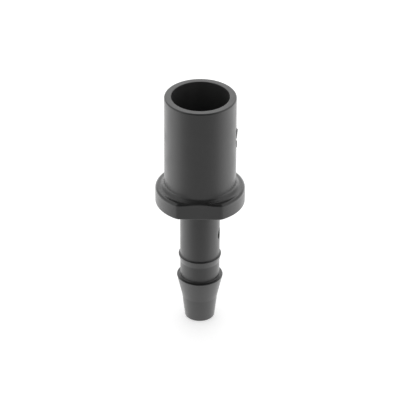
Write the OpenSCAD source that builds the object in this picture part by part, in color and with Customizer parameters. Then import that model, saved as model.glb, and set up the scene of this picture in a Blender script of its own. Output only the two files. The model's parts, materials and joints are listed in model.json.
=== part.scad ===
// Straight hose connector, moulded in one piece.
// A plain wide tube stands on a flange with two spanner flats.
// Below the flange a thinner shank ends in two barbs that grip a hose.
// The origin is the centre of the tip's end face, with +Z along the axis towards the wide tube.

/* [Wide tube] */
// Outside diameter of the wide tube, in mm
tube_od = 15; // [14.4:0.1:15.6]
// Diameter of the wide tube's bore, in mm
tube_bore = 12.1; // [11.4:0.1:12.8]
// Height of the wide tube above the flange, in mm
tube_length = 21.2; // [12:0.1:36]
// Radius of the fillet between the wide tube and the flange, limited by the ledge it stands on, in mm
tube_fillet = 1.1; // [0.6:0.05:1.6]
// Radius of the round on the outer edge of the rim, in mm
rim_round = 0.3; // [0.1:0.05:0.5]
// Radius of the round on the inner edge of the rim, in mm
mouth_round = 0.12; // [0.05:0.01:0.3]

/* [Flange] */
// Outside diameter of the flange, in mm
flange_d = 18.8; // [18.2:0.1:22]
// Thickness of the flange, in mm
flange_t = 3.65; // [2.6:0.05:6]
// Distance across the two spanner flats, in mm
across_flats = 16.4; // [15.8:0.1:17.4]
// Radius of the round on the flange's upper edge, in mm
flange_top_round = 0.6; // [0.2:0.05:0.8]
// Radius of the round on the flange's lower edge, in mm
flange_foot_round = 0.2; // [0.05:0.01:0.4]
// Radius of the upright corners where the flats meet the round side, in mm
flat_corner_round = 1.5; // [0.2:0.1:2]

/* [Shank] */
// Diameter of the shank where it leaves the flange, in mm
shank_top_d = 8.44; // [8.2:0.02:9.2]
// Diameter of the shank where it meets the first barb, in mm
shank_foot_d = 8.34; // [7.8:0.02:8.48]
// Length of the shank from the flange to the first barb, in mm
shank_length = 13.1; // [8:0.1:24]
// Radius of the fillet between the flange and the shank, in mm
shank_fillet = 0.3; // [0.1:0.05:0.8]

/* [Barbs and nose] */
// Diameter over the first barb, in mm
first_barb_d = 9.04; // [8.9:0.02:9.6]
// Length of the first barb's taper, in mm
first_barb_length = 1.6; // [1:0.1:3]
// Distance from the first barb's shoulder to the second one's, in mm
barb_pitch = 5.25; // [4:0.05:8]
// Diameter of the neck between the barbs, in mm
neck_d = 8.3; // [7.8:0.02:8.6]
// Diameter over the second barb, in mm
second_barb_d = 9.76; // [9.3:0.02:10.6]
// Length of the second barb's steep taper, in mm
taper_length = 5.05; // [3:0.05:8]
// Diameter where the steep taper meets the nose, in mm
nose_d = 7.48; // [7:0.02:8]
// Length of the nose from there to the tip, in mm
nose_length = 5.3; // [3:0.05:8]
// Diameter of the tip, in mm
tip_d = 6.24; // [6:0.02:6.8]
// Radius of the round on the tip's outer edge, in mm
tip_round = 0.4; // [0.1:0.05:0.5]
// Radius of the round on the barbs' edges, in mm
barb_round = 0.12; // [0.05:0.01:0.15]

/* [Waterway] */
// Diameter of the bore through the shank and the nose, in mm
hose_bore = 4.6; // [3.6:0.1:5]
// How far the wide bore runs below the flange's upper face, in mm
bore_below_face = 1; // [0:0.1:1.4]
// Length of the cone that joins the two bores, in mm
throat_length = 3; // [2:0.1:6]

/* [Hidden] */

$fn = 96;
// How far a rounding tool reaches past the edge that it shapes, as a share of its radius
reach = 0.15;
// How far a rounding circle is drawn across the sides that it meets, as a share of its radius
ease = 0.002;
// Overrun of the cutting tools past the faces that they cut
overrun = 1;
// Narrowest flat ring left between the fillet on the ledge and the round on its edge
ledge_rest = 0.05;

nose_z = nose_length;
second_barb_z = nose_z + taper_length;
first_barb_z = second_barb_z + barb_pitch;
flange_z = first_barb_z + shank_length;
flange_top_z = flange_z + flange_t;
rim_z = flange_top_z + tube_length;
bore_floor_z = flange_top_z - bore_below_face;
throat_z = bore_floor_z - throat_length;

ledge = (flange_d - tube_od) / 2;
ledge_fillet = min(tube_fillet, ledge - flange_top_round - ledge_rest);

// Corners of the outside, from the tip up to the rim: radius, height, radius of the corner's arc
outside_corners = [
  [0, 0, 0],
  [tip_d / 2, 0, tip_round],
  [nose_d / 2, nose_z, 0],
  [second_barb_d / 2, second_barb_z, barb_round],
  [neck_d / 2, second_barb_z, 0],
  [neck_d / 2, first_barb_z - first_barb_length, 0],
  [first_barb_d / 2, first_barb_z, barb_round],
  [shank_foot_d / 2, first_barb_z, 0],
  [shank_top_d / 2, flange_z, shank_fillet],
  [flange_d / 2, flange_z, flange_foot_round],
  [flange_d / 2, flange_top_z, flange_top_round],
  [tube_od / 2, flange_top_z, ledge_fillet],
  [tube_od / 2, rim_z, rim_round],
  [0, rim_z, 0]
];

// Corners of the wall around the mouth, in the same form
mouth_corners = [
  [tube_bore / 2, flange_top_z, 0],
  [tube_od / 2, flange_top_z, 0],
  [tube_od / 2, rim_z, 0],
  [tube_bore / 2, rim_z, mouth_round]
];

function flat_point(p) = [p[0], p[1]];
function unit(v) = v / norm(v);
function cross_z(u, v) = u[0] * v[1] - u[1] * v[0];

// Direction from corner i to its neighbour, one step on or one step back
function side(corners, i, step) =
  unit(flat_point(corners[(i + step + len(corners)) % len(corners)]) - flat_point(corners[i]));

// True where the outline, listed anticlockwise, turns outwards at corner i
function is_edge(corners, i) = cross_z(side(corners, i, -1), side(corners, i, 1)) < 0;

// Half of the angle between the two sides at corner i
function half_angle(corners, i) = acos(side(corners, i, -1) * side(corners, i, 1)) / 2;

// Centre of the arc that touches both sides at corner i
function arc_centre(corners, i) =
  flat_point(corners[i])
  + unit(side(corners, i, -1) + side(corners, i, 1)) * corners[i][2] / sin(half_angle(corners, i));

// Four points around corner i: the arc's centre, its two ends and the corner, drawn a little larger
function corner_kite(corners, i) =
  let (centre = arc_centre(corners, i))
  let (corner = flat_point(corners[i]))
  let (run = corners[i][2] / tan(half_angle(corners, i)))
  let (ends = [corner + side(corners, i, -1) * run, corner, corner + side(corners, i, 1) * run])
  concat([centre], [for (p = ends) centre + (p - centre) * (1 + reach)]);

// Area between corner i and its arc: what a round takes off an edge, or a fillet adds to an inner corner
module corner_area(corners, i) {
  difference() {
    polygon(corner_kite(corners, i));
    translate(arc_centre(corners, i)) circle(r = corners[i][2] * (1 + ease));
  }
}

// Solid of revolution through the corners, with its edges rounded and its inner corners filleted
module turned_body(corners) {
  all = [0 : len(corners) - 1];
  rotate_extrude()
    difference() {
      polygon([for (p = corners) flat_point(p)]);
      for (i = all)
        if (corners[i][2] > 0 && is_edge(corners, i)) corner_area(corners, i);
    }
  for (i = all)
    if (corners[i][2] > 0 && !is_edge(corners, i))
      rotate_extrude() corner_area(corners, i);
}

// The corner between a flat and the flange's round side, beyond the arc that eases it
module flat_corner_area() {
  centre_y = across_flats / 2 - flat_corner_round;
  centre_r = flange_d / 2 - flat_corner_round;
  centre = [sqrt(centre_r ^ 2 - centre_y ^ 2), centre_y];
  up = [0, 2 * flat_corner_round];
  out = centre / centre_r * 2 * flat_corner_round;
  difference() {
    polygon([centre, centre + up, centre + up + out, centre + out]);
    translate(centre) circle(r = flat_corner_round * (1 + ease));
  }
}

// The two spanner flats with their eased corners, cut through the flange and the foot of its upper fillet
module spanner_flats() {
  for (turn = [0, 180])
    rotate(turn)
      translate([0, 0, flange_z - overrun])
        linear_extrude(flange_t + ledge_fillet + 2 * overrun) {
          translate([-flange_d / 2, across_flats / 2])
            square([flange_d, flange_d / 2]);
          flat_corner_area();
          mirror([1, 0]) flat_corner_area();
        }
}

// The way through: the wide bore, the cone that narrows it and the bore of the hose tail
module waterway() {
  translate([0, 0, bore_floor_z])
    cylinder(h = rim_z - bore_floor_z + overrun, d = tube_bore);
  translate([0, 0, throat_z])
    cylinder(h = throat_length, d1 = hose_bore, d2 = tube_bore);
  translate([0, 0, -overrun])
    cylinder(h = throat_z + 2 * overrun, d = hose_bore);
  rotate_extrude() corner_area(mouth_corners, len(mouth_corners) - 1);
}

module hose_connector() {
  color([0.17, 0.17, 0.18])
    difference() {
      turned_body(outside_corners);
      waterway();
      spanner_flats();
    }
}

hose_connector();
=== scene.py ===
"""A straight hose connector, moulded in one piece: wide tube, flange with spanner flats and barbed hose tail.

The moulding is one outline turned round its axis by a geometry node tree, which also cuts the flats and
shapes the marks on one side. All lengths are in metres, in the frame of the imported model: the tip stands on
the floor at the origin, and the wide tube points up.
"""

import json
import math

import bpy
from bpy.props import FloatProperty, FloatVectorProperty, IntProperty, PointerProperty
from mathutils import Matrix, Vector


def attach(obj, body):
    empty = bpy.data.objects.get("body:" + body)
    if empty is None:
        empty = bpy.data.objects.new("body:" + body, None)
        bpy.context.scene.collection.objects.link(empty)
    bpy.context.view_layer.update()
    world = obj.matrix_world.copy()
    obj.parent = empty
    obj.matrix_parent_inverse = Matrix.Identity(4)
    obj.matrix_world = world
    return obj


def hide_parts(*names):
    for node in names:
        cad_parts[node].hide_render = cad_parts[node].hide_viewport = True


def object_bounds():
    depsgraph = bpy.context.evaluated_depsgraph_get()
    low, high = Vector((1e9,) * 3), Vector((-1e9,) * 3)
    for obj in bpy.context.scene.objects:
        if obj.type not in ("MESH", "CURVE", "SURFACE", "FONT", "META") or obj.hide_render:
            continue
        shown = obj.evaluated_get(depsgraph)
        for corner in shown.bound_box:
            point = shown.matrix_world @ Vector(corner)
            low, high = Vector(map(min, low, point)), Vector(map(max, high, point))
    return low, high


bl_info = {
    "name": "Hose Connector",
    "version": (1, 0, 0),
    "blender": (4, 5, 0),
    "location": "3D View > Sidebar > Connector",
    "description": "Builds a moulded hose connector and the small studio it stands in",
    "category": "Add Mesh",
}

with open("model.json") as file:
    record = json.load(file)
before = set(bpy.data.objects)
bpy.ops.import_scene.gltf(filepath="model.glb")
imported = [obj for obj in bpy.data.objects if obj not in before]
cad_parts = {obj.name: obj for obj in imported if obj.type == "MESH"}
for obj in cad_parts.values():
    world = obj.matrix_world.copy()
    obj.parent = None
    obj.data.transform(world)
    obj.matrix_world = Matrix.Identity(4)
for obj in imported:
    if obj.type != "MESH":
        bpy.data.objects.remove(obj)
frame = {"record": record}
CAD_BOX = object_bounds()
MOUNTS = {mount["name"]: mount for mount in frame["record"]["mounts"]}
MM = 0.001


def mount_radius(name):
    """Radius that the record gives for a round mount, in metres."""
    return MOUNTS[name]["dims"]["r_mm"] * MM


# Sizes, colours and studio settings


def offset(name, description, default, **limits):
    """A distance in metres that may be negative, as a property."""
    return FloatProperty(
        name=name, description=description, default=default, unit="LENGTH", precision=5, **limits
    )


def length(name, description, default):
    """A length in metres, as a property."""
    return offset(name, description, default, min=0)


def angle_of(name, description, degrees):
    """An angle, given here in degrees, as a property."""
    return FloatProperty(name=name, description=description, default=math.radians(degrees), subtype="ANGLE")


def amount(name, description, default, **limits):
    """A plain number that can't be negative, as a property."""
    return FloatProperty(name=name, description=description, default=default, min=0, **limits)


def share(name, description, default):
    """A number between nothing and one, as a property."""
    return amount(name, description, default, max=1)


def whole(name, description, default):
    """A number of columns, as a property."""
    return IntProperty(name=name, description=description, default=default, min=1)


def colour(name, description, default):
    """A colour, as a property."""
    return FloatVectorProperty(
        name=name, description=description, default=default, subtype="COLOR", size=3, min=0, max=1
    )


class ConnectorSizes(bpy.types.PropertyGroup):
    """Sizes of the moulding."""

    tip_radius: length("Tip Radius", "Outside radius of the tip", 3.12 * MM)
    tip_round: length("Tip Round", "Round on the tip's outer edge", 0.4 * MM)
    nose_radius: length("Nose Radius", "Radius where the nose meets the steep taper", 3.74 * MM)
    nose_height: length("Nose Height", "Height where the nose meets the steep taper", 5.3 * MM)
    second_barb_radius: length("Second Barb Radius", "Radius over the barb nearer the tip", 4.88 * MM)
    second_barb_height: length(
        "Second Barb Height", "Height of its shoulder", MOUNTS["hose_barb"]["pos_m"][2]
    )
    neck_radius: length("Neck Radius", "Radius of the neck between the barbs", 4.15 * MM)
    neck_top: length("Neck Top", "Height where the neck flares into the first barb", 14.0 * MM)
    first_barb_radius: length("First Barb Radius", "Radius over the barb nearer the flange", 4.52 * MM)
    first_barb_height: length("First Barb Height", "Height of its shoulder", 15.6 * MM)
    shank_foot_radius: length("Shank Foot Radius", "Radius of the shank at the first barb", 4.17 * MM)
    shank_top_radius: length("Shank Top Radius", "Radius of the shank at the flange", 4.22 * MM)
    flange_foot: length("Flange Foot", "Height of the flange's lower face", MOUNTS["hose_stop"]["pos_m"][2])
    flange_top: length("Flange Top", "Height of the flange's upper face", 32.35 * MM)
    flange_radius: length("Flange Radius", "Radius of the flange's round side", CAD_BOX[1].x)
    half_flats: length(
        "Half Across Flats", "Distance from the axis to a flat", abs(MOUNTS["flat_front"]["pos_m"][1])
    )
    corner_round: length("Corner Round", "Round of the upright corners beside the flats", 1.5 * MM)
    edge_round: length("Edge Round", "Round on the flange's upper edge", 0.6 * MM)
    foot_round: length("Foot Round", "Round on the flange's lower edge", 0.2 * MM)
    ledge_fillet: length("Ledge Fillet", "Fillet between the wide tube and the flange", 1.1 * MM)
    shank_fillet: length("Shank Fillet", "Fillet between the shank and the flange", 0.3 * MM)
    barb_round: length("Barb Round", "Round on the barbs' edges", 0.12 * MM)
    neck_fillet: length("Neck Fillet", "Fillet between the second barb's shoulder and the neck", 0.22 * MM)
    foot_fillet: length("Foot Fillet", "Fillet between the first barb's shoulder and the shank", 0.2 * MM)
    tube_radius: length("Tube Radius", "Outside radius of the wide tube", mount_radius("wide_tube"))
    rim_height: length("Rim Height", "Height of the wide tube's rim", CAD_BOX[1].z)
    rim_round: length("Rim Round", "Round on the rim's outer edge", 0.3 * MM)
    mouth_round: length("Mouth Round", "Round on the rim's inner edge", 0.12 * MM)
    wide_bore: length("Wide Bore", "Radius of the wide tube's bore", mount_radius("wide_bore"))
    bore_floor: length("Bore Floor", "Height where the wide bore ends in the throat", 31.35 * MM)
    throat_foot: length("Throat Foot", "Height where the throat meets the hose bore", 28.35 * MM)
    hose_bore: length("Hose Bore", "Radius of the bore through shank and nose", mount_radius("hose_bore"))
    mark_ease: angle_of("Mark Ease", "Angle over which a mark's sides run out into the wall", 2)
    mark_zone: angle_of("Mark Zone", "Angle either side of the marks where the columns stand closer", 30)
    mark_steps: whole("Mark Steps", "Columns in the mark zone's half", 26)
    round_steps: whole("Round Steps", "Columns in a quarter of the round side", 38)
    corner_steps: whole("Corner Steps", "Columns in an upright corner", 7)
    flat_steps: whole("Flat Steps", "Columns in half a flat", 21)


class ConnectorFinish(bpy.types.PropertyGroup):
    """Colours and finish of the moulding."""

    plastic: colour("Plastic", "Body colour of the plastic", frame["record"]["materials"][0]["base_color"])
    roughness: share("Roughness", "Mean roughness of the skin", 0.4)
    edge_roughness: share("Edge Roughness", "Mean roughness at the flange's upper edge", 0.3)
    bore_roughness: share("Bore Roughness", "Mean roughness of the bore", 0.55)
    # The bore's colour is painted light: the same plastic made brighter there, standing in for light that the
    # lamps don't bring into the bore.
    bore_painted_light: amount("Bore Tone", "Share of the body colour in the bore", 1.85)
    grain_size: length("Grain Size", "Size of the mould's fine grain", 0.12 * MM)
    grain_depth: length("Grain Depth", "Depth of the mould's fine grain", 0.004 * MM)
    wave_size: length("Wave Size", "Size of the slight unevenness of the skin", 0.9 * MM)
    wave_depth: length("Wave Depth", "Depth of that unevenness on the plain walls", 0.004 * MM)
    edge_wave: amount("Edge Wave", "How many times deeper the unevenness is at the flange's upper edge", 5.0)
    drift_size: length("Drift Size", "Size of the slow drift of tone", 3 * MM)


class StudioSettings(bpy.types.PropertyGroup):
    """Camera, lamps and floor."""

    aim_height: length("Aim Height", "Height that the camera looks at", 28.53 * MM)
    aim_side: offset("Aim Side", "Place beside the axis that the camera looks at", -0.012 * MM)
    distance: length("Distance", "Distance of the camera from that point", 691.5 * MM)
    elevation: angle_of("Elevation", "Angle of the camera above the horizon", 31.6)
    azimuth: angle_of("Azimuth", "Angle of the camera round the part, from straight in front", 1.0)
    roll: angle_of("Roll", "Turn of the camera about its view", 0.21)
    lens: amount("Lens", "Focal length in millimetres", 297)
    floor: colour("Floor", "Colour of the floor", (0.9, 0.9, 0.9))
    floor_lift: amount("Floor Lift", "How far the camera sees the floor above its own tone", 0.45)
    sky_strength: amount("Sky Strength", "Light from all round", 0.63)
    side_strength: amount("Side Strength", "Radiance of the side lamps", 0.19)
    back_strength: amount("Back Strength", "Radiance of the lamp behind", 0.89)
    # Painted reflection: a glow on the floor that only glossy rays see, dim in front of the part and bright
    # behind it.
    glow_near: amount("Glow Near", "Glow that reflections see on the floor in front of the part", 0.18)
    glow_far: amount("Glow Far", "Glow that reflections see on the floor behind the part", 1.35)
    glow_start: FloatProperty(
        name="Glow Start",
        description="Where the glow begins to rise, from -1 in front of the part to 1 behind it",
        default=-0.59,
    )
    glow_end: FloatProperty(
        name="Glow End", description="Where the glow is at its full, in the same measure", default=-0.04
    )
    glow_core: length("Glow Core", "Distance from the axis within which the glow evens out", 34 * MM)
    # Painted reflections: dark flags round the camera and a bright backdrop foot, sheets that only the part's
    # reflections show.
    flag_tone: share("Flag Tone", "How bright the dark flags round the camera look in reflections", 0.02)
    flag_reach: offset("Flag Reach", "How far the overhead flag reaches past the part, to the back", 0.1)
    flag_width: length("Flag Width", "Half the overhead flag's width", 0.85)
    backdrop_tone: amount("Backdrop Tone", "How bright the foot of the backdrop looks in reflections", 1.7)
    backdrop_height: length("Backdrop Height", "Height of that foot", 0.45)


# Node helpers


class Nodes:
    """Adds nodes to a tree and links them."""

    def __init__(self, tree):
        self.tree = tree

    def add(self, kind, inputs=None, **settings):
        """A node with its settings, and its inputs linked to sockets or set to values, by name or number."""
        node = self.tree.nodes.new(kind)
        for key, value in settings.items():
            setattr(node, key, value)
        for key, value in (inputs or {}).items():
            self.join(value, node.inputs[key])
        return node

    def join(self, value, socket):
        """Links an output socket to an input, or sets the input's own value."""
        if isinstance(value, bpy.types.NodeSocket):
            self.tree.links.new(value, socket)
        else:
            socket.default_value = value

    def math(self, operation, a, b=None, c=None):
        """Result of a math node."""
        given = {i: v for i, v in enumerate((a, b, c)) if v is not None}
        return self.add("ShaderNodeMath", given, operation=operation).outputs[0]

    def ramp(self, value, low, high, to_low, to_high, kind="LINEAR"):
        """Value mapped from one range to another, held at its ends."""
        given = {"Value": value, "From Min": low, "From Max": high, "To Min": to_low, "To Max": to_high}
        return self.add("ShaderNodeMapRange", given, interpolation_type=kind, clamp=True).outputs["Result"]


def open_group(name, kind, inputs, outputs):
    """A new node group with its sockets, as (tree, helper, sockets of its input node, its output node)."""
    tree = bpy.data.node_groups.new(name, kind)
    for socket_name, socket_type in inputs:
        tree.interface.new_socket(name=socket_name, in_out="INPUT", socket_type="NodeSocket" + socket_type)
    for socket_name, socket_type in outputs:
        tree.interface.new_socket(name=socket_name, in_out="OUTPUT", socket_type="NodeSocket" + socket_type)
    nodes = Nodes(tree)
    given = nodes.add("NodeGroupInput").outputs
    return tree, nodes, given, nodes.add("NodeGroupOutput")


def set_inputs(modifier, values):
    """Sets a geometry node modifier's inputs by their names, through the sockets' identifiers."""
    for item in modifier.node_group.interface.items_tree:
        if item.item_type == "SOCKET" and item.in_out == "INPUT" and item.name in values:
            modifier[item.identifier] = values[item.name]


# The outline


TURNED, EDGE_ARC, FILLET_ARC = 0, 1, 2
GUARD = 0.04 * MM  # narrow strips beside each arc, which keep the long faces' shading flat
MARK_STEP = 0.12 * MM  # height of the closer rows at the marks
TINY = 0.001 * MM  # lengths below this count as nothing
EDGE_ROWS, FILLET_ROWS = 10, 14  # steps round the flange's upper edge and up the fillet above it
NOSE_BLEND, NECK_BLEND = 2 * MM, 1 * MM  # slight rounds where the nose and the neck meet a taper
FLOOR_ROUND, THROAT_ROUND, HOSE_MOUTH_ROUND = 0.15 * MM, 0.3 * MM, 0.08 * MM  # rounds down the waterway


def arc_points(before, corner, after, radius, steps):
    """Points of the arc that rounds a corner of a line, from one tangent point to the other."""
    back, on = (before - corner).normalized(), (after - corner).normalized()
    half = back.angle(on) / 2
    run = radius / math.tan(half)
    centre = corner + (back + on).normalized() * (radius / math.sin(half))
    start, end = corner + back * run - centre, corner + on * run - centre
    sweep = start.angle(end)
    return [
        centre + (start * math.sin(sweep * (1 - t)) + end * math.sin(sweep * t)) / math.sin(sweep)
        for t in (i / steps for i in range(steps + 1))
    ]


def rounded_line(corners, longest):
    """Points along a line of (radius, height, round, steps) corners, with guards and even steps between.

    No step along a straight side is longer than the given length.
    """
    flat = [Vector(c[:2]) for c in corners]
    pieces = [[flat[0]]]
    for i in range(1, len(corners) - 1):
        _, _, radius, steps = corners[i]
        pieces.append(arc_points(flat[i - 1], flat[i], flat[i + 1], radius, steps) if radius else [flat[i]])
    pieces.append([flat[-1]])
    points = []
    for here, there in zip(pieces, pieces[1:] + [None]):
        points += here
        if there is None:
            break
        a, b = here[-1], there[0]
        run = (b - a).length
        if run > 4 * GUARD:
            way = (b - a) / run
            points.append(a + way * GUARD)
            count = max(1, math.ceil((run - 2 * GUARD) / longest))
            points += [a + way * (GUARD + (run - 2 * GUARD) * k / count) for k in range(1, count + 1)]
    return points


# Plain marks on one side: a chevron of two leaves on the wide tube and a dimple on the shank. Each is given
# as its lowest and highest point and its relief at either end, in mm, then the angle of its middle at either
# end and half its width, in degrees, counted from +X towards -Y.
TUBE_MARKS = [
    (41.6, 43.6, 0.15, 0.15, 1, 6, 4), (44.0, 46.0, 0.10, 0.27, 6, -1, 4),
]
SHANK_MARKS = [
    (19.7, 22.2, -0.44, -0.32, 14, 10, 12),
]


def mark_at(height):
    """Relief, middle and half width of the mark at a height, all zero where there is none."""
    for low, high, low_relief, high_relief, low_turn, high_turn, half in TUBE_MARKS + SHANK_MARKS:
        t = (height / MM - low) / (high - low)
        if 0 < t < 1:
            span = math.sqrt(1 - (2 * t - 1) ** 2)
            relief = (low_relief + (high_relief - low_relief) * t) * min(1.0, 2 * span)
            turn = low_turn + (high_turn - low_turn) * t
            return relief * MM, math.radians(turn), math.radians(half) * span
    return 0.0, 0.0, 0.0


def with_mark_rows(points):
    """The same line with closer rows where the marks are."""
    bands = [(m[0][0] * MM - GUARD, m[-1][1] * MM + GUARD) for m in (TUBE_MARKS, SHANK_MARKS)]
    made = []
    for a, b in zip(points, points[1:] + [None]):
        made.append(a)
        if b is None or b.y - a.y < MARK_STEP:
            continue
        for low, high in bands:
            low, high = max(low, a.y), min(high, b.y)
            if high - low < TINY:
                continue
            count = math.ceil((high - low) / MARK_STEP)
            made += [
                a.lerp(b, (low + (high - low) * k / count - a.y) / (b.y - a.y))
                for k in range(count + 1)
                if TINY < low + (high - low) * k / count - a.y < b.y - a.y - TINY
            ]
    return made


def connector_outline(s):
    """Rows of the closed outline, from the tip face up the outside, over the rim and down the bore."""
    rows = []

    def add(r, z, part=TURNED, turn=0.0, pull=0.0, rise=0.0, inside=0.0):
        relief, middle, half = mark_at(z) if part == TURNED and not inside else (0.0, 0.0, 0.0)
        rows.append({
            "place": (r, 0, z), "part": part, "turn": turn, "pull": pull, "rise": rise, "inside": inside,
            "relief": relief, "middle": middle, "half": half,
        })

    tail = rounded_line([
        ((s.hose_bore + s.tip_radius) / 2, 0, 0, 0),
        (s.tip_radius, 0, s.tip_round, 8),
        (s.nose_radius, s.nose_height, NOSE_BLEND, 3),
        (s.second_barb_radius, s.second_barb_height, s.barb_round, 6),
        (s.neck_radius, s.second_barb_height, s.neck_fillet, 5),
        (s.neck_radius, s.neck_top, NECK_BLEND, 3),
        (s.first_barb_radius, s.first_barb_height, s.barb_round, 6),
        (s.shank_foot_radius, s.first_barb_height, s.foot_fillet, 5),
        (s.shank_top_radius, s.flange_foot, s.shank_fillet, 6),
        (s.flange_radius - s.foot_round, s.flange_foot, 0, 0),
    ], longest=1.1 * MM)
    inner, outer = s.shank_top_radius + s.shank_fillet, s.flange_radius - s.foot_round
    for p in with_mark_rows(tail)[:-1]:
        under = p.y > s.flange_foot - TINY
        add(p.x, p.y, pull=max(0.0, (p.x - inner) / (outer - inner)) if under else 0.0)

    wall = rounded_line([
        (outer - GUARD, s.flange_foot, 0, 0),
        (s.flange_radius, s.flange_foot, s.foot_round, 5),
        (s.flange_radius, s.flange_top - s.edge_round, 0, 0),
    ], longest=0.8 * MM)
    foot = s.flange_foot + s.foot_round
    height = s.flange_top - s.edge_round - foot
    for p in wall[:-1]:
        add(p.x, p.y, pull=1.0, rise=max(0.0, (p.y - foot) / height))
    for i in range(EDGE_ROWS + 1):
        add(s.flange_radius, s.flange_top, part=EDGE_ARC, turn=i / EDGE_ROWS)
    for i in range(FILLET_ROWS + 1):
        add(s.tube_radius, s.flange_top, part=FILLET_ARC, turn=i / FILLET_ROWS)

    tube = rounded_line([
        (s.tube_radius, s.flange_top + s.ledge_fillet, 0, 0),
        (s.tube_radius, s.rim_height, s.rim_round, 7),
        (s.wide_bore, s.rim_height, s.mouth_round, 5),
        (s.wide_bore, s.bore_floor, FLOOR_ROUND, 4),
        (s.hose_bore, s.throat_foot, THROAT_ROUND, 4),
        (s.hose_bore, 0, HOSE_MOUTH_ROUND, 4),
        ((s.hose_bore + s.tip_radius) / 2, 0, 0, 0),
    ], longest=1.3 * MM)
    for p in with_mark_rows(tube)[1:-1]:
        add(p.x, p.y, inside=1.0 if p.x < s.wide_bore + TINY else 0.0)
    return rows


def outline_mesh(rows):
    """A mesh that holds one vertex for each row of the outline, with what the turning needs as attributes."""
    mesh = bpy.data.meshes.new("outline")
    mesh.from_pydata([row["place"] for row in rows], [], [])
    for name in ("part", "turn", "pull", "rise", "inside", "relief", "middle", "half"):
        layer = mesh.attributes.new(name, "FLOAT", "POINT")
        layer.data.foreach_set("value", [float(row[name]) for row in rows])
    return mesh


# The moulding


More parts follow.
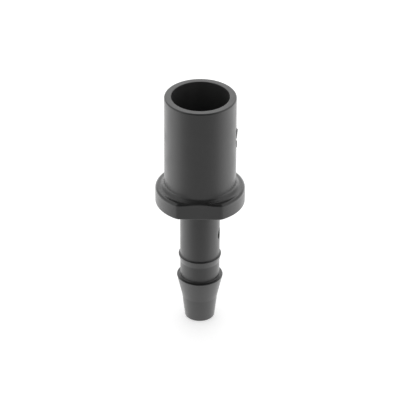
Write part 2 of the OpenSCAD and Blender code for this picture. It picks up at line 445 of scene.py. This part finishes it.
def turning_tree():
    """Geometry nodes that turn the outline round the axis, and shape the flats, the corners and the marks."""
    tree, n, given, out = open_group(
        "Turn Moulded Outline",
        "GeometryNodeTree",
        [("Outline", "Geometry"), ("Round Steps", "Int"), ("Corner Steps", "Int"), ("Flat Steps", "Int"),
         ("Flange Radius", "Float"), ("Half Across Flats", "Float"), ("Corner Round", "Float"),
         ("Tube Radius", "Float"), ("Flange Top", "Float"), ("Edge Round", "Float"),
         ("Ledge Fillet", "Float"), ("Mark Steps", "Int"), ("Mark Zone", "Float"), ("Mark Ease", "Float"),
         ("Skin", "Material"), ("Bore", "Material")],
        [("Geometry", "Geometry")],
    )
    tree.is_modifier = True
    m = n.math

    # One vertex for each row and column, and which they are
    size = n.add("GeometryNodeAttributeDomainSize", {0: given["Outline"]}, component="MESH").outputs
    rows = size["Point Count"]
    corner_end = m("ADD", given["Round Steps"], given["Corner Steps"])
    quarter = m("ADD", corner_end, given["Flat Steps"])
    columns = m("MULTIPLY", quarter, 4)
    grid = n.add("GeometryNodeMeshGrid", {
        "Size X": columns, "Size Y": rows,
        "Vertices X": m("ADD", columns, 1), "Vertices Y": m("ADD", rows, 1),
    }).outputs["Mesh"]
    spot = n.add("ShaderNodeSeparateXYZ", {0: n.add("GeometryNodeInputPosition").outputs[0]}).outputs
    column = m("ROUND", m("ADD", spot["X"], m("MULTIPLY", columns, 0.5)))
    row = m("FLOORED_MODULO", m("ROUND", m("ADD", spot["Y"], m("MULTIPLY", rows, 0.5))), rows)

    def at_row(name):
        value = n.add("GeometryNodeInputNamedAttribute", {"Name": name}, data_type="FLOAT").outputs[0]
        return n.add("GeometryNodeSampleIndex", {"Geometry": given["Outline"], "Value": value, "Index": row},
                     data_type="FLOAT", domain="POINT").outputs["Value"]

    def switch(test, off, on):
        choice = {"Switch": test, "False": off, "True": on}
        return n.add("GeometryNodeSwitch", choice, input_type="FLOAT").outputs[0]

    place = n.add("GeometryNodeSampleIndex", {
        "Geometry": given["Outline"], "Value": n.add("GeometryNodeInputPosition").outputs[0], "Index": row,
    }, data_type="FLOAT_VECTOR", domain="POINT").outputs["Value"]
    place = n.add("ShaderNodeSeparateXYZ", {0: place}).outputs
    part, turn = at_row("part"), at_row("turn")

    # The arc that eases the upright corner between a flat and the round side, seen from above
    centre_y = m("SUBTRACT", given["Half Across Flats"], given["Corner Round"])
    centre_r = m("SUBTRACT", given["Flange Radius"], given["Corner Round"])
    centre_x = m("SQRT", m("SUBTRACT", m("MULTIPLY", centre_r, centre_r), m("MULTIPLY", centre_y, centre_y)))
    round_end = m("ARCTAN2", centre_y, centre_x)
    flat_start = m("ARCTAN2", given["Half Across Flats"], centre_x)

    # Angle of each column within its quarter, with more columns in the mark zone and in the corner
    fold = m("PINGPONG", column, quarter)
    steps, zone = given["Mark Steps"], given["Mark Zone"]
    angle = m("ADD", n.ramp(fold, 0.0, steps, 0.0, zone),
              n.ramp(fold, steps, given["Round Steps"], 0.0, m("SUBTRACT", round_end, zone)))
    angle = m("ADD", angle, n.ramp(fold, given["Round Steps"], corner_end, 0.0,
                                   m("SUBTRACT", flat_start, round_end)))
    angle = m("ADD", angle, n.ramp(fold, corner_end, quarter, 0.0, m("SUBTRACT", math.pi / 2, flat_start)))
    across, along = m("COSINE", angle), m("SINE", angle)
    behind = m("LESS_THAN", m("ABSOLUTE", m("SUBTRACT", column, m("MULTIPLY", quarter, 2))), quarter)
    side_x = m("SUBTRACT", 1.0, m("MULTIPLY", behind, 2.0))
    side_y = m("SUBTRACT", 1.0, m("MULTIPLY", m("GREATER_THAN", column, m("MULTIPLY", quarter, 2)), 2.0))

    # How far the flange reaches in this column's direction
    reach = m("ADD", m("MULTIPLY", across, centre_x), m("MULTIPLY", along, centre_y))
    inside = m("SUBTRACT", m("MULTIPLY", reach, reach), m("MULTIPLY", centre_r, centre_r))
    inside = m("ADD", inside, m("MULTIPLY", given["Corner Round"], given["Corner Round"]))
    corner = m("ADD", reach, m("SQRT", m("MAXIMUM", inside, 0.0)))
    flat = m("DIVIDE", given["Half Across Flats"], m("MAXIMUM", along, 0.01))
    cap = switch(m("GREATER_THAN", fold, given["Round Steps"]), given["Flange Radius"], corner)
    cap = switch(m("GREATER_THAN", fold, m("SUBTRACT", corner_end, 0.5)), cap, flat)

    # The round on the flange's upper edge rolls down the fillet where a flat cuts into it
    edge, fillet = given["Edge Round"], given["Ledge Fillet"]
    edge_r = m("SUBTRACT", cap, edge)
    fillet_r, fillet_z = m("ADD", given["Tube Radius"], fillet), m("ADD", given["Flange Top"], fillet)
    overlap = m("MAXIMUM", m("SUBTRACT", fillet_r, edge_r), 0.0)
    both = m("ADD", edge, fillet)
    drop = m("SQRT", m("SUBTRACT", m("MULTIPLY", both, both), m("MULTIPLY", overlap, overlap)))
    edge_z = m("SUBTRACT", fillet_z, drop)
    meet = m("ARCTAN2", drop, overlap)
    edge_turn = m("MULTIPLY", meet, turn)
    fillet_turn = m("ADD", math.pi, m("MULTIPLY", meet, m("SUBTRACT", 1.0, turn)))

    # Radius and height of each vertex
    is_edge, is_fillet = m("COMPARE", part, float(EDGE_ARC), 0.1), m("COMPARE", part, float(FILLET_ARC), 0.1)
    pulled = m("MULTIPLY", at_row("pull"), m("SUBTRACT", cap, given["Flange Radius"]))
    lifted = m("SUBTRACT", edge_z, m("SUBTRACT", given["Flange Top"], edge))
    r = m("ADD", place["X"], pulled)
    z = m("ADD", place["Z"], m("MULTIPLY", at_row("rise"), lifted))
    r = switch(is_edge, r, m("MULTIPLY_ADD", edge, m("COSINE", edge_turn), edge_r))
    z = switch(is_edge, z, m("MULTIPLY_ADD", edge, m("SINE", edge_turn), edge_z))
    r = switch(is_fillet, r, m("MULTIPLY_ADD", fillet, m("COSINE", fillet_turn), fillet_r))
    z = switch(is_fillet, z, m("MULTIPLY_ADD", fillet, m("SINE", fillet_turn), fillet_z))

    # Marks on the side that the angle is counted from
    signed = m("MULTIPLY", switch(behind, angle, math.pi), m("MULTIPLY", side_y, -1.0))
    away = m("ABSOLUTE", m("SUBTRACT", signed, at_row("middle")))
    window = n.ramp(m("SUBTRACT", at_row("half"), away), 0.0, given["Mark Ease"], 0.0, 1.0, "SMOOTHSTEP")
    r = m("ADD", r, m("MULTIPLY", at_row("relief"), window))

    x = m("MULTIPLY", m("MULTIPLY", r, across), side_x)
    y = m("MULTIPLY", m("MULTIPLY", r, along), side_y)
    final = n.add("ShaderNodeCombineXYZ", {0: x, 1: y, 2: z}).outputs[0]
    compared = n.add("FunctionNodeCompare", {"A": at_row("inside"), "B": 0.5}, operation="GREATER_THAN")
    in_bore = compared.outputs[0]
    marked = n.add("GeometryNodeStoreNamedAttribute", {"Geometry": grid, "Name": "in_bore", "Value": in_bore},
                   data_type="BOOLEAN", domain="POINT").outputs[0]
    shaped = n.add("GeometryNodeSetPosition", {"Geometry": marked, "Position": final}).outputs[0]
    closed = n.add("GeometryNodeMergeByDistance", {"Geometry": shaped, "Distance": TINY}).outputs[0]
    smooth = n.add("GeometryNodeSetShadeSmooth", {"Geometry": closed, "Shade Smooth": True}).outputs[0]
    real = n.add("GeometryNodeRealizeInstances", {"Geometry": smooth}).outputs[0]
    skin = n.add("GeometryNodeSetMaterial", {"Geometry": real, "Material": given["Skin"]}).outputs[0]
    chosen = n.add("GeometryNodeInputNamedAttribute", {"Name": "in_bore"}, data_type="BOOLEAN").outputs[0]
    bore = n.add("GeometryNodeSetMaterial", {
        "Geometry": skin, "Selection": chosen, "Material": given["Bore"],
    })
    n.join(bore.outputs[0], out.inputs[0])
    return tree


# Materials


DRIFT_TONE = 0.12  # how far the drift moves the tone either way, as a share of it
DRIFT_ROUGHNESS = 0.03  # how far it moves the roughness
BAND_FADE_BELOW, BAND_FADE_ABOVE = 0.5 * MM, 1 * MM  # heights over which a band of other skin fades out


def grain_group():
    """Shader nodes for a moulded skin: a fine even grain, a slight unevenness and a slow drift of tone."""
    tree, n, given, out = open_group(
        "Mould Grain",
        "ShaderNodeTree",
        [("Vector", "Vector"), ("Grain Size", "Float"), ("Wave Size", "Float"), ("Drift Size", "Float")],
        [("Height", "Float"), ("Wave", "Float"), ("Drift", "Float")],
    )
    fine = n.add("ShaderNodeTexNoise", {
        "Vector": given["Vector"], "Scale": n.math("DIVIDE", 1.0, given["Grain Size"]), "Detail": 3.0,
        "Roughness": 0.6,
    }).outputs["Fac"]
    pits = n.add("ShaderNodeTexVoronoi", {
        "Vector": given["Vector"], "Scale": n.math("DIVIDE", 0.6, given["Grain Size"]),
    }, feature="SMOOTH_F1").outputs["Distance"]
    wave = n.add("ShaderNodeTexNoise", {
        "Vector": given["Vector"], "Scale": n.math("DIVIDE", 1.0, given["Wave Size"]), "Detail": 1.5,
    }).outputs["Fac"]
    slow = n.add("ShaderNodeTexNoise", {
        "Vector": given["Vector"], "Scale": n.math("DIVIDE", 1.0, given["Drift Size"]), "Detail": 2.0,
    }).outputs["Fac"]
    n.join(n.math("MULTIPLY_ADD", pits, 0.5, fine), out.inputs["Height"])
    n.join(wave, out.inputs["Wave"])
    n.join(slow, out.inputs["Drift"])
    return tree


def plastic_material(name, grain, finish, stretch, depth, roughness, tone, band):
    """Satin black plastic with the mould's grain, drawn out along the axis where a core was pulled from it.

    The band is where the skin differs: its lowest and highest point, how much more uneven it is, how rough.
    """
    material = bpy.data.materials.new(name)
    material.use_nodes = True
    material.diffuse_color = (*finish.plastic, 1)
    n = Nodes(material.node_tree)
    shader = material.node_tree.nodes["Principled BSDF"]
    place = n.add("ShaderNodeTexCoord").outputs["Object"]
    where = n.add("ShaderNodeMapping", {"Vector": place, "Scale": (1, 1, stretch)}).outputs[0]
    group = n.add("ShaderNodeGroup", node_tree=grain)
    n.join(where, group.inputs["Vector"])
    n.join(finish.grain_size, group.inputs["Grain Size"])
    n.join(finish.wave_size, group.inputs["Wave Size"])
    n.join(finish.drift_size, group.inputs["Drift Size"])
    # The tone scales the body colour. For the bore it is above one: painted light, a brighter copy of the
    # plastic standing in for light inside the bore.
    dark = [c * tone * (1 - DRIFT_TONE) for c in finish.plastic]
    pale = [c * tone * (1 + DRIFT_TONE) for c in finish.plastic]
    drift = n.ramp(group.outputs["Drift"], 0.3, 0.7, 0.0, 1.0)
    shade = n.add("ShaderNodeMix", {0: drift, 6: (*dark, 1), 7: (*pale, 1)}, data_type="RGBA")
    n.join(shade.outputs[2], shader.inputs["Base Color"])
    low, high, factor, band_roughness = band
    height = n.add("ShaderNodeSeparateXYZ", {0: place}).outputs["Z"]
    below = n.ramp(height, low - BAND_FADE_BELOW, low, 0.0, 1.0)
    above = n.ramp(height, high, high + BAND_FADE_ABOVE, 1.0, 0.0)
    inside = n.math("MINIMUM", below, above)
    rough = n.ramp(drift, 0.0, 1.0, roughness - DRIFT_ROUGHNESS, roughness + DRIFT_ROUGHNESS)
    n.join(n.math("MULTIPLY_ADD", inside, band_roughness - roughness, rough), shader.inputs["Roughness"])
    wave = n.math("MULTIPLY", group.outputs["Wave"], n.math("MULTIPLY_ADD", inside, factor - 1, 1.0))
    waves = n.add("ShaderNodeBump", {"Height": wave, "Distance": finish.wave_depth, "Strength": 1.0})
    bump = n.add("ShaderNodeBump", {
        "Height": group.outputs["Height"], "Distance": depth, "Strength": 1.0, "Normal": waves.outputs[0],
    })
    n.join(bump.outputs[0], shader.inputs["Normal"])
    shader.inputs["IOR"].default_value = 1.55
    return material


def floor_material(studio):
    """Plain pale floor. The camera sees it lifted to white with the shadow still on it, and the gloss sees a
    painted glow on it that brightens from the front to the back, standing in for a floor lit from behind."""
    material = bpy.data.materials.new("pale floor")
    material.use_nodes = True
    n = Nodes(material.node_tree)
    shader = material.node_tree.nodes["Principled BSDF"]
    shader.inputs["Base Color"].default_value = (*studio.floor, 1)
    shader.inputs["Roughness"].default_value = 0.9
    shader.inputs["Specular IOR Level"].default_value = 0.0
    shader.inputs["Emission Color"].default_value = (1, 1, 1, 1)
    path = n.add("ShaderNodeLightPath").outputs
    seen = n.math("MAXIMUM", path["Is Camera Ray"], path["Is Transmission Ray"])
    seen = n.math("MULTIPLY", seen, studio.floor_lift)
    place = n.add("ShaderNodeTexCoord").outputs["Object"]
    reach = n.add("ShaderNodeVectorMath", {0: place}, operation="LENGTH").outputs["Value"]
    along = n.math("DIVIDE", n.add("ShaderNodeSeparateXYZ", {0: place}).outputs["Y"],
                   n.math("ADD", reach, studio.glow_core))
    # Painted reflection: the glow that only glossy rays see, rising from the front of the part to the back.
    glow = n.ramp(along, studio.glow_start, studio.glow_end, studio.glow_near, studio.glow_far, "SMOOTHSTEP")
    n.join(n.math("MULTIPLY_ADD", path["Is Glossy Ray"], glow, seen), shader.inputs["Emission Strength"])
    return material


def background_rays(n):
    """One for the rays that show the background: the camera's, the gloss's and those through clear things."""
    path = n.add("ShaderNodeLightPath").outputs
    seen = n.math("MAXIMUM", path["Is Camera Ray"], path["Is Glossy Ray"])
    return n.math("MAXIMUM", seen, path["Is Transmission Ray"])


def stage_sheet(name, corners, material):
    """A flat sheet of the stage, given by its four corners."""
    mesh = bpy.data.meshes.new(name)
    mesh.from_pydata(corners, [], [(0, 1, 2, 3)])
    mesh.materials.append(material)
    sheet = bpy.data.objects.new(name, mesh)
    bpy.context.scene.collection.objects.link(sheet)
    return sheet


def painted_reflection_card(name, corners, tone):
    """A card beside the set that only reflections show: a painted reflection, dark or bright, on the part,
    much as a photographer's flag darkens one side.
    """
    material = bpy.data.materials.new(name)
    material.use_nodes = True
    tree = material.node_tree
    tree.nodes.remove(tree.nodes["Principled BSDF"])
    n = Nodes(tree)
    glow = n.add("ShaderNodeEmission", {"Color": (1, 1, 1, 1), "Strength": tone})
    n.join(glow.outputs[0], tree.nodes["Material Output"].inputs["Surface"])
    card = stage_sheet(name, corners, material)
    card.visible_camera = card.visible_diffuse = card.visible_shadow = card.visible_transmission = False


# Operators


class CONNECTOR_OT_moulding(bpy.types.Operator):
    """Build the moulding: wide tube, flange with flats, shank, barbs and nose, open from end to end"""

    bl_idname = "connector.moulding"
    bl_label = "Moulding"

    def execute(self, context):
        sizes, finish = context.scene.connector_sizes, context.scene.connector_finish
        grain = grain_group()
        below_top, above_top = 0.4 * MM, 0.1 * MM
        edge = (sizes.flange_top - below_top, sizes.flange_top + above_top, finish.edge_wave,
                finish.edge_roughness)
        skin = plastic_material("moulded skin", grain, finish, 1.0, finish.grain_depth, finish.roughness,
                                1.0, edge)
        # The bore is the same plastic with its grain drawn out, and its colour painted lighter to stand in
        # for light inside it.
        pulled, shallow = 0.06, 0.6
        bore = plastic_material("cored bore", grain, finish, pulled, finish.grain_depth * shallow,
                                finish.bore_roughness, finish.bore_painted_light, (0, 0, 1, finish.bore_roughness))

        turner = bpy.data.objects.new("turner", outline_mesh(connector_outline(sizes)))
        context.scene.collection.objects.link(turner)
        modifier = turner.modifiers.new("Turn", "NODES")
        modifier.node_group = turning_tree()
        set_inputs(modifier, {
            "Round Steps": sizes.round_steps,
            "Corner Steps": sizes.corner_steps,
            "Flat Steps": sizes.flat_steps,
            "Flange Radius": sizes.flange_radius,
            "Half Across Flats": sizes.half_flats,
            "Corner Round": sizes.corner_round,
            "Tube Radius": sizes.tube_radius,
            "Flange Top": sizes.flange_top,
            "Edge Round": sizes.edge_round,
            "Ledge Fillet": sizes.ledge_fillet,
            "Mark Steps": sizes.mark_steps,
            "Mark Zone": sizes.mark_zone,
            "Mark Ease": sizes.mark_ease,
            "Skin": skin,
            "Bore": bore,
        })
        view = context.evaluated_depsgraph_get()
        mesh = bpy.data.meshes.new_from_object(turner.evaluated_get(view), depsgraph=view)
        turner.modifiers.clear()
        bpy.data.objects.remove(turner)
        if len(mesh.polygons) < 1000:
            raise RuntimeError("the moulding came out empty")
        mesh.name = "moulding"
        piece = bpy.data.objects.new("moulding", mesh)
        context.scene.collection.objects.link(piece)
        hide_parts("hose_connector")
        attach(piece, "root")
        return {"FINISHED"}


class CONNECTOR_OT_stage(bpy.types.Operator):
    """Set up the studio: pale floor, soft lamps, white surroundings and the camera"""

    bl_idname = "connector.stage"
    bl_label = "Stage"

    def execute(self, context):
        scene, studio = context.scene, context.scene.connector_studio
        scene.view_settings.view_transform = "Standard"

        half = 3.0
        stage_sheet("floor", [(-half, -half, 0), (half, -half, 0), (half, half, 0), (-half, half, 0)],
                    floor_material(studio))

        world = bpy.data.worlds.new("white surroundings")
        world.use_nodes = True
        n = Nodes(world.node_tree)
        background = world.node_tree.nodes["Background"]
        background.inputs["Color"].default_value = (1, 1, 1, 1)
        seen = background_rays(n)
        n.join(n.ramp(seen, 0.0, 1.0, studio.sky_strength, 1.0), background.inputs["Strength"])
        scene.world = world

        aim = Vector((studio.aim_side, 0, studio.aim_height))
        lamps = [
            ("left lamp", (-0.7, 0.1, 0.35), (0.6, 0.8), studio.side_strength),
            ("right lamp", (0.7, 0.1, 0.35), (0.6, 0.8), studio.side_strength),
            ("back lamp", (0, 0.8, 0.5), (1.2, 0.8), studio.back_strength),
        ]
        for name, place, size, radiance in lamps:
            light = bpy.data.lights.new(name, "AREA")
            light.shape = "RECTANGLE"
            light.size, light.size_y = size
            light.energy = radiance * math.pi * size[0] * size[1]
            lamp = bpy.data.objects.new(name, light)
            lamp.location = place
            lamp.rotation_euler = (Vector(place) - aim).to_track_quat("Z", "Y").to_euler()
            lamp.visible_camera = False
            scene.collection.objects.link(lamp)

        # Painted reflections: dark flags in front and overhead, sheets that only reflections show and that
        # cast no shadow.
        wide, far, high, behind = 1.5, -1.2, 1.4, studio.flag_reach
        painted_reflection_card("front flag", [(-wide, far, 0), (wide, far, 0), (wide, far, high), (-wide, far, high)],
                   studio.flag_tone)
        over = studio.flag_width
        painted_reflection_card("overhead flag",
                   [(-over, far, high), (over, far, high), (over, behind, high), (-over, behind, high)],
                   studio.flag_tone)
        # Painted reflection: a bright sheet behind the part where a backdrop's foot would be, seen only in
        # reflections.
        top, back = studio.backdrop_height, -far
        painted_reflection_card("backdrop foot",
                   [(-wide, back, 0), (wide, back, 0), (wide, back, top), (-wide, back, top)],
                   studio.backdrop_tone)

        camera = bpy.data.objects.new("camera", bpy.data.cameras.new("camera"))
        camera.data.lens = studio.lens
        camera.data.sensor_width = 36
        camera.data.clip_start, camera.data.clip_end = 0.05, 20
        level = math.cos(studio.elevation)
        away = Vector((
            math.sin(studio.azimuth) * level, -math.cos(studio.azimuth) * level, math.sin(studio.elevation),
        ))
        turn = away.to_track_quat("Z", "Y").to_matrix().to_4x4() @ Matrix.Rotation(studio.roll, 4, "Z")
        camera.matrix_world = Matrix.Translation(aim + away * studio.distance) @ turn
        scene.collection.objects.link(camera)
        scene.camera = camera
        return {"FINISHED"}


# Panel and registration


class CONNECTOR_PT_panel(bpy.types.Panel):
    """Lists the pieces and their sizes"""

    bl_idname = "CONNECTOR_PT_panel"
    bl_label = "Hose Connector"
    bl_space_type = "VIEW_3D"
    bl_region_type = "UI"
    bl_category = "Connector"

    def draw(self, context):
        layout, scene = self.layout, context.scene
        layout.operator(CONNECTOR_OT_moulding.bl_idname)
        layout.operator(CONNECTOR_OT_stage.bl_idname)
        for group in (scene.connector_sizes, scene.connector_finish, scene.connector_studio):
            box = layout.box()
            for name in group.bl_rna.properties.keys():
                if name not in ("rna_type", "name"):
                    box.prop(group, name)


CLASSES = (
    ConnectorSizes,
    ConnectorFinish,
    StudioSettings,
    CONNECTOR_OT_moulding,
    CONNECTOR_OT_stage,
    CONNECTOR_PT_panel,
)


def register():
    for cls in CLASSES:
        bpy.utils.register_class(cls)
    bpy.types.Scene.connector_sizes = PointerProperty(type=ConnectorSizes)
    bpy.types.Scene.connector_finish = PointerProperty(type=ConnectorFinish)
    bpy.types.Scene.connector_studio = PointerProperty(type=StudioSettings)


def unregister():
    del bpy.types.Scene.connector_studio
    del bpy.types.Scene.connector_finish
    del bpy.types.Scene.connector_sizes
    for cls in reversed(CLASSES):
        bpy.utils.unregister_class(cls)


def main():
    """Registers the add-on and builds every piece."""
    register()
    bpy.ops.connector.moulding()
    bpy.ops.connector.stage()


if __name__ == "__main__":
    main()
